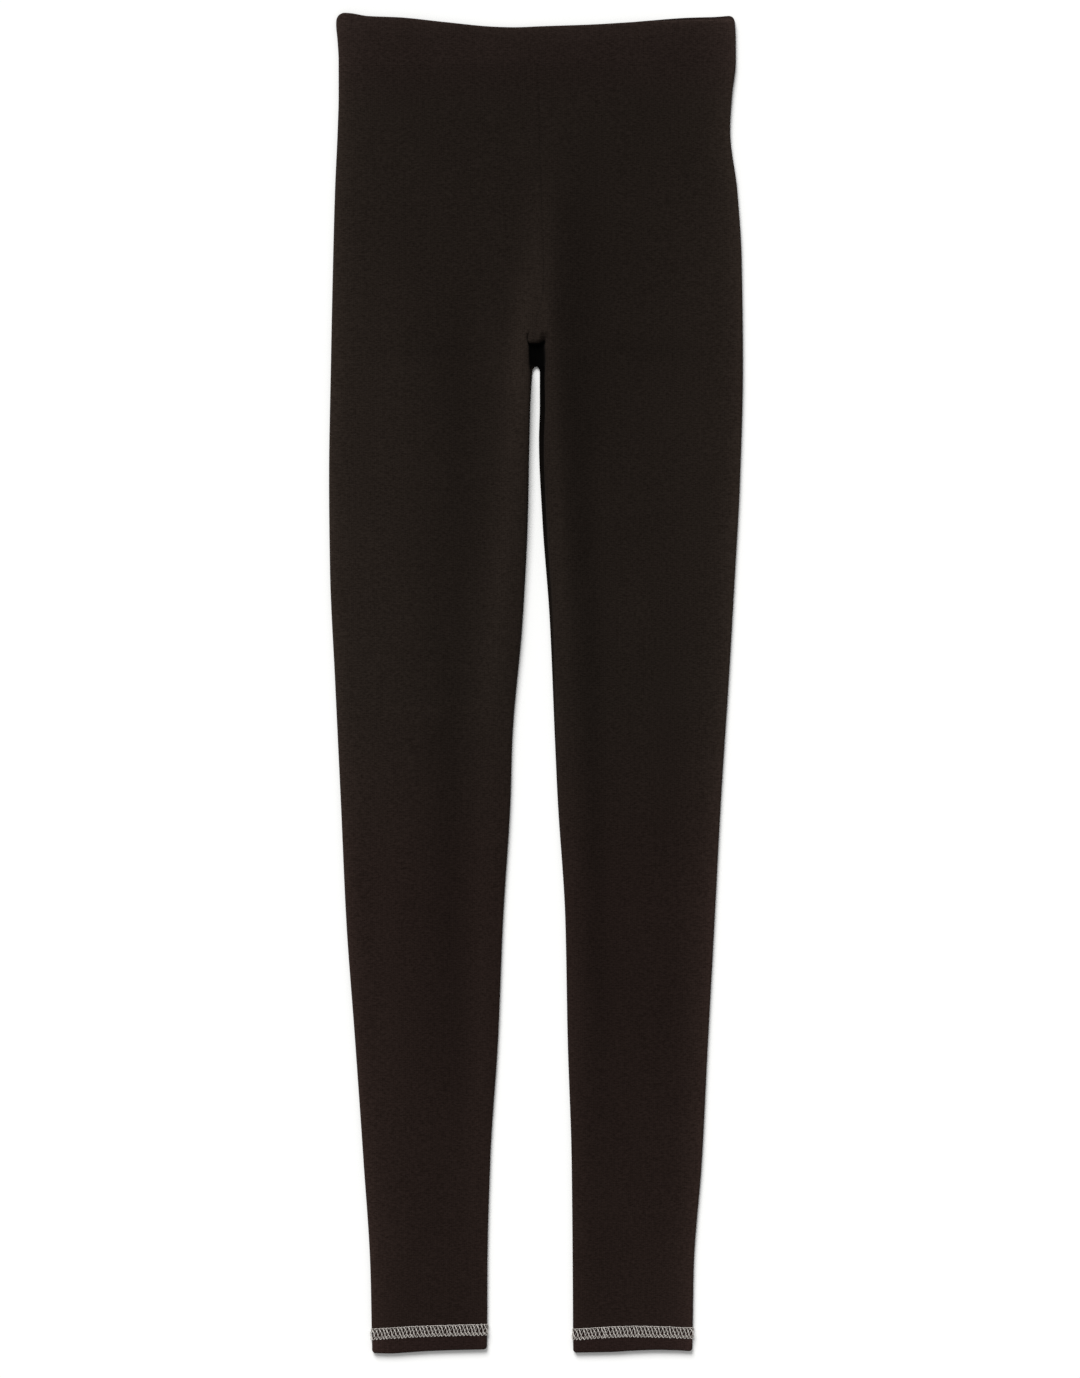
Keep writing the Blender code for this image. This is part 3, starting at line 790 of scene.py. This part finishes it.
panel_jersey = knitted_jersey("brushed single jersey", "#130e0b", "#231d19")
leg_grids = {}
for leg in SIDES:
    leg_grid, leg_shade = leg_points(leg)
    leg_painted_shading = painted_light_and_shade(leg, leg_grid, leg_shade)
    leg_cloth = cloth_piece(f"leg_cloth_{leg}", leg_grid, leg_painted_shading, CLOTH, panel_jersey, flip=leg == "left")
    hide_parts(f"leg_{leg}")
    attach(leg_cloth, "root")
    leg_grids[leg] = leg_grid

# ---------------------------------------------------------------------------------------------------
# Waist casing. A strip of the same jersey is folded over a flat elastic and sewn to the panels all round,
# so that it is a firm flat tube. Its top edge dips in the middle, and on the left the back shows above it.

CASING = 0.0016
CASING_HEIGHT = 0.0041
WAIST_CORNER = {"right": 0.0062, "left": 0.0045}
# Down to the top edge, at the front and at the back.
WAIST_EDGE = table(
    "x front back",
    (-0.143, -0.0009, -0.0001),
    (-0.134, -0.0004, 0.0005),
    (-0.121, 0.0017, 0.0019),
    (-0.099, 0.0026, 0.0026),
    (-0.065, 0.0061, 0.0064),
    (-0.030, 0.0094, 0.0101),
    (-0.016, 0.0098, 0.0106),
    (0.005, 0.0090, 0.0100),
    (0.040, 0.0078, 0.0083),
    (0.080, 0.0056, 0.0048),
    (0.110, 0.0050, 0.0026),
    (0.128, 0.0046, 0.0021),
    (0.143, 0.0040, 0.0009),
)
CASING_STRETCHES = (("front", 96), ("outer_fold", 12), ("back", 60), ("inner_fold", 12))
CASING_ROWS = 22
CASING_DEPTH = 0.030  # about, from its top edge to its seam
EDGE_ROUNDING = 0.0009
GATHERED = 0.75  # how much closer together the places round a tube are beside its folds
CASING_SEAM = table("down x", (0.009, 0.0067), (0.036, 0.0084))  # it doesn't meet the seat's seam


def ring_columns(stretches):
    """The places round a flat tube, as (stretch, share)."""
    return [(name, k / count) for name, count in stretches for k in range(count)]


def ring_place(stretch, share, inner, outer, height):
    """A point round a flat tube as (x, up, how far it faces up, from -1 to 1)."""
    radius = height / 2
    low, high = inner + radius, outer - radius
    angle = math.pi * share
    share -= GATHERED * math.sin(2 * math.pi * share) / (2 * math.pi)
    if stretch == "front":
        return mix(low, high, share), height, 1.0
    if stretch == "outer_fold":
        return high + radius * math.sin(angle), radius + radius * math.cos(angle), math.cos(angle)
    if stretch == "back":
        return mix(high, low, share), 0.0, -1.0
    return low - radius * math.sin(angle), radius - radius * math.cos(angle), -math.cos(angle)


def corner_drop(distance_in, radius):
    """How far a rounded corner or edge falls away at a distance in from its outermost point."""
    reach = max(radius - max(distance_in, 0.0), 0.0)
    return radius - math.sqrt(radius**2 - reach**2)


def edge_rows(count, rounding, length):
    """Shares of the way along a piece, closer together within its two rounded edges."""
    fine = 4
    near = rounding / length
    middle = np.linspace(near, 1 - near, count - 2 * fine)
    start = near * (1 - np.cos(np.linspace(0, math.pi / 2, fine, endpoint=False)))
    return np.concatenate([start, middle, 1 - start[::-1]])


def casing_points():
    """Every point of the casing's grid, as rows, columns and coordinates, and the painted light and shade at
    each.
    """
    columns = ring_columns(CASING_STRETCHES)
    shares = edge_rows(CASING_ROWS, EDGE_ROUNDING, CASING_DEPTH)
    points = np.zeros((len(shares), len(columns), 3))
    painted_shading = np.zeros((len(shares), len(columns)))
    for c, (stretch, share) in enumerate(columns):
        for r, share_down in enumerate(shares):
            down = 0.0
            for _ in range(2):  # the sides are found again at the height that the first round gives
                inner = -float(along(OUTER_EDGE, "right", down))
                outer = float(along(OUTER_EDGE, "left", down))
                x, up, facing = ring_place(stretch, share, inner, outer, CASING_HEIGHT)
                front, back = (float(along(WAIST_EDGE, side, x)) for side in ("front", "back"))
                edge = mix(back, front, float(ease((facing + 1) / 2)))
                edge += corner_drop(x - inner, WAIST_CORNER["right"])
                edge += corner_drop(outer - x, WAIST_CORNER["left"])
                line = float(along(CASING_LINE, "down", x)) + SEAM_LAP / 2
                down = mix(edge, line, share_down)
            dip = corner_drop(down - edge, EDGE_ROUNDING)
            aside = abs(x - float(along(CASING_SEAM, "x", down))) / MM
            groove = 0.35 * math.exp(-((aside / 0.8) ** 2)) * MM if stretch == "front" else 0.0
            up -= facing * (dip + groove)
            points[r, c] = (x, TOP - down, up)
            from_side = max(min(x - inner, outer - x), 0.0)
            # painted highlights near the sides and the top edge, painted shade in the seam's groove, and at
            # the top edge a painted highlight on the front with painted shade on the back
            painted_shading[r, c] = outer_fold_highlight(from_side) + 0.44 * math.exp(-(down - edge) / 0.0100)
            painted_shading[r, c] -= 0.10 * math.exp(-((aside / 0.9) ** 2))
            painted_shading[r, c] += 0.36 * facing * math.exp(-(down - edge) / 0.0009)
    return points, painted_shading + strokes(SHADING_STROKES, points[:, :, 0], TOP - points[:, :, 1])


casing_jersey = knitted_jersey("brushed jersey over elastic", "#130e0b", "#231d19")
casing_grid, casing_painted_shading = casing_points()
casing = cloth_piece("waist_casing", casing_grid, casing_painted_shading, CASING, casing_jersey, closed=True, flip=True)
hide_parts("waistband")
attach(casing, "root")

# ---------------------------------------------------------------------------------------------------
# Hems. The end of each leg is turned up once and sewn flat, so that the band below the stitches is of
# two layers, a little firmer than the leg.

DOUBLED = 0.0015
HEM_HEIGHT = 0.0039
HEM_CORNER = 0.0025
# Down to the end of each leg, by share of the way across it.
HEM_EDGE = table(
    "share right left",
    (0.00, 0.9620, 0.9644),
    (0.33, 0.9627, 0.9639),
    (0.50, 0.9632, 0.9630),
    (0.70, 0.9643, 0.9624),
    (0.85, 0.9650, 0.9626),
    (1.00, 0.9646, 0.9634),
)
HEM_STRETCHES = (("front", 44), ("outer_fold", 12), ("back", 30), ("inner_fold", 12))
HEM_ROWS = 16
HEM_DEPTH = 0.014  # about, from its seam to its end


def hem_points(name):
    """Every point of a hem's grid, as rows, columns and coordinates, and the painted highlight at each."""
    columns = ring_columns(HEM_STRETCHES)
    shares = edge_rows(HEM_ROWS, EDGE_ROUNDING, HEM_DEPTH)
    points = np.zeros((len(shares), len(columns), 3))
    painted_shading = np.zeros((len(shares), len(columns)))
    inner = float(inner_edge(name, np.float64(LENGTH))[0])
    outer = float(along(OUTER_EDGE, name, LENGTH))
    for c, (stretch, share) in enumerate(columns):
        across, up, facing = ring_place(stretch, share, inner, outer, HEM_HEIGHT)
        share_across = float(foot_share(name, across, np.float64(LENGTH)))
        start = float(along(STITCH_LINE, name, share_across)) - SEAM_LAP / 2
        end = float(along(HEM_EDGE, name, share_across))
        end -= corner_drop(min(across - inner, outer - across), HEM_CORNER)
        for r, share_down in enumerate(shares):
            down = mix(start, end, share_down)
            dip = corner_drop(end - down, EDGE_ROUNDING)
            lift = STITCH_LIFT * float(ease(1 - (down - start) / STITCH_REACH)) * max(-facing, 0.0)
            points[r, c] = (SIDES[name] * across, TOP - down, up - facing * dip + lift)
            # painted highlights towards the two folds
            painted_shading[r, c] = outer_fold_highlight(max(outer - across, 0.0)) + inner_fold_highlight(max(across - inner, 0.0))
    return points, painted_shading


hem_jersey = knitted_jersey("doubled brushed jersey", "#150f0c", "#271f1c")
for leg in SIDES:
    hem_grid, hem_painted_shading = hem_points(leg)
    hem_band = cloth_piece(
        f"hem_band_{leg}", hem_grid, hem_painted_shading, DOUBLED, hem_jersey, closed=True, flip=leg == "left"
    )
    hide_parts(f"hem_{leg}")
    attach(hem_band, "root")

# ---------------------------------------------------------------------------------------------------
# Hem stitching. A flatlock stitch in thick white woolly thread runs round each leg: two rows of needle
# stitches, a looped one above and a dotted one below, with the looper threads crossing between them.

STITCH = 0.0026  # from one stitch to the next
BAND = 0.0071  # between the two rows
BAND_BELOW = 0.0001  # how far the middle of the band lies below the hem's seam
THREAD = 0.00045  # thickness of the woolly thread
STITCH_STRETCHES = (("front", 60), ("outer_fold", 16), ("back", 60), ("inner_fold", 16))


def hem_ring(name):
    """The outline round a leg at its stitches, as rows of across, up, outward and facing, and distances."""
    down = np.float64(float(along(STITCH_LINE, name, 0.5)))
    inner = float(inner_edge(name, down)[0])
    outer = float(along(OUTER_EDGE, name, down))
    ring = []
    for stretch, share in ring_columns(STITCH_STRETCHES):
        across, up, facing = ring_place(stretch, share, inner, outer, HEM_HEIGHT)
        outward = 0.0
        if "fold" in stretch:
            centre = outer - HEM_HEIGHT / 2 if stretch == "outer_fold" else inner + HEM_HEIGHT / 2
            outward = (across - centre) / (HEM_HEIGHT / 2)
        ring.append((across, up + STITCH_LIFT * max(-facing, 0.0), outward, facing))
    ring.append(ring[0])
    ring = np.array(ring)
    steps = np.hypot(np.diff(ring[:, 0]), np.diff(ring[:, 1]))
    return ring, np.concatenate([[0.0], np.cumsum(steps)])


def sewn_threads(name, paths, thickness, material):
    """Threads as one mesh of round tubes, each on a smooth curve past the points of a path.

    A point of a path is its place and the share of the thickness there. No thread lies below the table top.
    """
    lines = bpy.data.curves.new(name, "CURVE")
    lines.dimensions = "3D"
    lines.bevel_depth = thickness / 2
    lines.bevel_resolution = 1
    lines.use_fill_caps = True
    lines.resolution_u = 2
    for path in paths:
        line = lines.splines.new("NURBS")
        line.points.add(len(path) - 1)
        for knot, (x, y, z, share) in zip(line.points, path):
            knot.co = (x, y, max(z, share * thickness / 2), 1.0)
            knot.radius = share
        line.order_u = 3
        line.use_endpoint_u = True
    drawn = bpy.data.objects.new(name, lines)
    mesh = bpy.data.meshes.new_from_object(drawn)
    bpy.data.objects.remove(drawn)
    bpy.data.curves.remove(lines)
    mesh.name = name
    mesh.shade_smooth()
    mesh.materials.clear()
    mesh.materials.append(material)
    threads = bpy.data.objects.new(name, mesh)
    bpy.context.scene.collection.objects.link(threads)
    return threads


# One stitch, as paths of (stitches to the viewer's right, share of the band up, height in threads), each
# with its own share of the thickness.
STITCH_PATHS = (
    # needle thread of the upper row, lying over the next one
    (0.85, ((-0.30, 1.00, 0.0), (-0.05, 1.03, 1.3), (0.50, 1.03, 1.3), (0.80, 0.99, 0.1))),
    # looper thread that crosses the band downwards on top, bent like an S
    (1.42, ((0.00, 0.98, 0.3), (0.05, 0.86, 1.2), (0.42, 0.64, 1.7), (0.56, 0.40, 1.7),
            (0.64, 0.26, 1.7), (1.02, 0.12, 1.2), (1.10, 0.00, 0.3))),
    # looper thread that comes back up beneath it the other way, pulled thin
    (0.52, ((0.15, 0.02, 0.1), (0.25, 0.20, 0.4), (0.80, 0.40, 0.4),
            (1.00, 0.66, 0.4), (1.55, 0.82, 0.4), (1.65, 0.98, 0.1))),
    # needle loop of the lower row, a small U
    (0.85, ((0.00, 0.12, 0.2), (0.06, -0.04, 1.3), (0.34, -0.09, 1.7),
            (0.62, -0.03, 1.3), (0.68, 0.12, 0.2))),
)


def hem_stitching(name, material):
    """The threads of a leg's flatlock stitch, each stitch laid a little unevenly."""
    ring, places = hem_ring(name)
    total = places[-1]
    count = round(total / STITCH)
    rng = np.random.default_rng(7 if name == "right" else 11)

    def spot(distance, share_up, height):
        at = distance % total
        across, up, outward, facing = (float(np.interp(at, places, column)) for column in ring.T)
        share = float(foot_share(name, across, np.float64(LENGTH)))
        down = float(along(STITCH_LINE, name, share)) + BAND_BELOW + BAND * (0.5 - share_up)
        normal = Vector((SIDES[name] * outward, 0.0, facing)).normalized()
        raised = THREAD * (0.5 * height + 1.2 * abs(outward))
        return Vector((SIDES[name] * across, TOP - down, up)) + normal * raised

    paths = []
    for k in range(count):
        start = (k + rng.normal(0, 0.06)) * total / count
        for share, path in STITCH_PATHS:
            jitter = rng.normal(0, 0.05, (len(path), 2))
            paths.append(
                [
                    (*spot(start + SIDES[name] * (right + a) * STITCH, share_up + b * 0.4, height), share)
                    for (right, share_up, height), (a, b) in zip(path, jitter)
                ]
            )
    return sewn_threads(f"hem_stitching_{name}", paths, THREAD, material)


def woolly_thread(name, dark, light, sheen):
    """Spun or textured polyester thread: dull and soft, with the twist of its plies just showing."""
    material, tree, shader = new_material(name)
    place = add_node(tree, "ShaderNodeTexCoord", {}).outputs["Object"]
    twist = add_node(
        tree,
        "ShaderNodeTexWave",
        {"Vector": place, "Scale": 420.0, "Distortion": 3.0, "Detail": 1.0, "Detail Scale": 2.0},
        wave_type="BANDS",
        bands_direction="DIAGONAL",
    )
    ramp = add_node(tree, "ShaderNodeValToRGB", {"Fac": twist.outputs["Fac"]})
    ramp.color_ramp.elements[0].color = linear(dark)
    ramp.color_ramp.elements[1].color = linear(light)
    surface = {"Height": twist.outputs["Fac"], "Strength": 0.5, "Distance": 0.0001}
    finish = {
        "Base Color": ramp.outputs["Color"],
        "Normal": add_node(tree, "ShaderNodeBump", surface).outputs["Normal"],
        "Roughness": 0.75,
        "Specular IOR Level": sheen,
        "Sheen Weight": sheen,
        "Sheen Roughness": 0.5,
    }
    set_inputs(tree, shader, finish)
    return material


white_thread = woolly_thread("textured polyester thread", "#8e8882", "#ded8d1", 0.10)
for leg in SIDES:
    stitching = hem_stitching(leg, white_thread)
    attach(stitching, "root")

# ---------------------------------------------------------------------------------------------------
# Seam stitching. The panels are joined with an overlock seam in thread of their own colour, down the
# centre of the front, through the crotch and up the back, and down the inner side of each leg. Only the
# short threads that cross the seam show, flush with the cloth.

SEAM_STITCH = 0.0024
SEAM_THREAD = 0.00030
SEAM_REACH = 0.0006  # how far a thread reaches to each side of the seam
THREAD_SUNK = 0.00008  # how deep its middle lies in the cloth, and how deep its two ends
THREAD_ENDS_SUNK = 0.0003
FRONT_THREADS_END = 0.2390  # down to the last thread on the front, at the tip of the tongue


def seam_line(points):
    """Points evenly spaced along a line, three to each stitch."""
    steps = np.linalg.norm(np.diff(points, axis=0), axis=1)
    places = np.concatenate([[0.0], np.cumsum(steps)])
    even = np.linspace(0.0, places[-1], 3 * round(places[-1] / SEAM_STITCH) + 1)
    return np.stack([np.interp(even, places, column) for column in points.T], axis=1)


def seam_threads(points, aside, facing):
    """A short thread for each stitch, slanting across a seam; "facing" turns it to the cloth's outside."""
    line = seam_line(points)
    aside = Vector(aside)
    paths = []
    for k in range(1, len(line) - 3, 3):
        ahead = Vector(line[k + 2] - line[k]).normalized()
        out = ahead.cross(aside).normalized() * facing
        ends = [
            Vector(line[k]) - aside * SEAM_REACH - out * THREAD_ENDS_SUNK,
            Vector(line[k]) - aside * SEAM_REACH * 0.5 - out * THREAD_SUNK,
            Vector(line[k + 2]) + aside * SEAM_REACH * 0.5 - out * THREAD_SUNK,
            Vector(line[k + 2]) + aside * SEAM_REACH - out * THREAD_ENDS_SUNK,
        ]
        paths.append([(p.x, p.y, p.z, 1.0) for p in ends])
    return paths


seam_paths = []
for leg, side in SIDES.items():
    front, back = leg_grids[leg][:, 0], leg_grids[leg][:, -1]
    inseam = (front + back) / 2
    seam_paths += seam_threads(inseam[TOP - inseam[:, 1] > FORK], (0.0, 0.0, 1.0), side)
    if leg == "right":
        seam_paths += seam_threads(front[TOP - front[:, 1] < FRONT_THREADS_END], (1.0, 0.0, 0.0), 1)
        seam_paths += seam_threads(back[TOP - back[:, 1] < FORK], (1.0, 0.0, 0.0), -1)
dark_thread = woolly_thread("dark polyester sewing thread", "#120e0b", "#231d19", 0.04)
seam_stitching = sewn_threads("seam_stitching", seam_paths, SEAM_THREAD, dark_thread)
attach(seam_stitching, "root")

# ---------------------------------------------------------------------------------------------------
# The table, the light and the camera. A white table top, a broad soft light that comes in rather low from
# beyond the waist and a little from the viewer's left, pale light from all round, and a camera straight
# above that takes in the whole garment.

TABLE_SIZE = 24.0
table_top = bmesh.new()
bmesh.ops.create_grid(table_top, x_segments=1, y_segments=1, size=TABLE_SIZE / 2)
table_mesh = bpy.data.meshes.new("table_top")
table_top.to_mesh(table_mesh)
table_top.free()
white_board, board_tree, board_shader = new_material("matt white board")
board_finish = {"Base Color": linear("#f9f9f8"), "Roughness": 0.9, "Specular IOR Level": 0.1}
set_inputs(board_tree, board_shader, board_finish)
table_mesh.materials.append(white_board)
table_object = bpy.data.objects.new("table_top", table_mesh)
bpy.context.scene.collection.objects.link(table_object)

world = bpy.data.worlds.new("pale room")
world.use_nodes = True
world.node_tree.nodes["Background"].inputs["Color"].default_value = (1.0, 1.0, 1.0, 1.0)
world.node_tree.nodes["Background"].inputs["Strength"].default_value = 0.42
bpy.context.scene.world = world
bpy.context.scene.view_settings.view_transform = "Standard"

window_light = bpy.data.lights.new("window light", "SUN")
window_light.energy = 3.35
window_light.angle = math.radians(34)
window = bpy.data.objects.new("window light", window_light)
window.rotation_euler = Vector((0.36, -1.0, -0.86)).to_track_quat("-Z", "Y").to_euler()
bpy.context.scene.collection.objects.link(window)

PICTURE_SIZE = (1080, 1378)  # width and height in pixels
VIEW_WIDTH = 0.7776  # width and height of what the camera takes in at the cloth
VIEW_HEIGHT = VIEW_WIDTH * PICTURE_SIZE[1] / PICTURE_SIZE[0]
VIEW_CENTRE = (0.0028, -0.0039)
CLOTH_LEVEL = 0.004
CAMERA_HEIGHT = 3.2
lens_data = bpy.data.cameras.new("camera")
lens_data.sensor_width = 36.0
lens_data.lens = lens_data.sensor_width * (CAMERA_HEIGHT - CLOTH_LEVEL) / VIEW_HEIGHT
camera = bpy.data.objects.new("camera", lens_data)
camera.location = (*VIEW_CENTRE, CAMERA_HEIGHT)
bpy.context.scene.collection.objects.link(camera)
bpy.context.scene.camera = camera
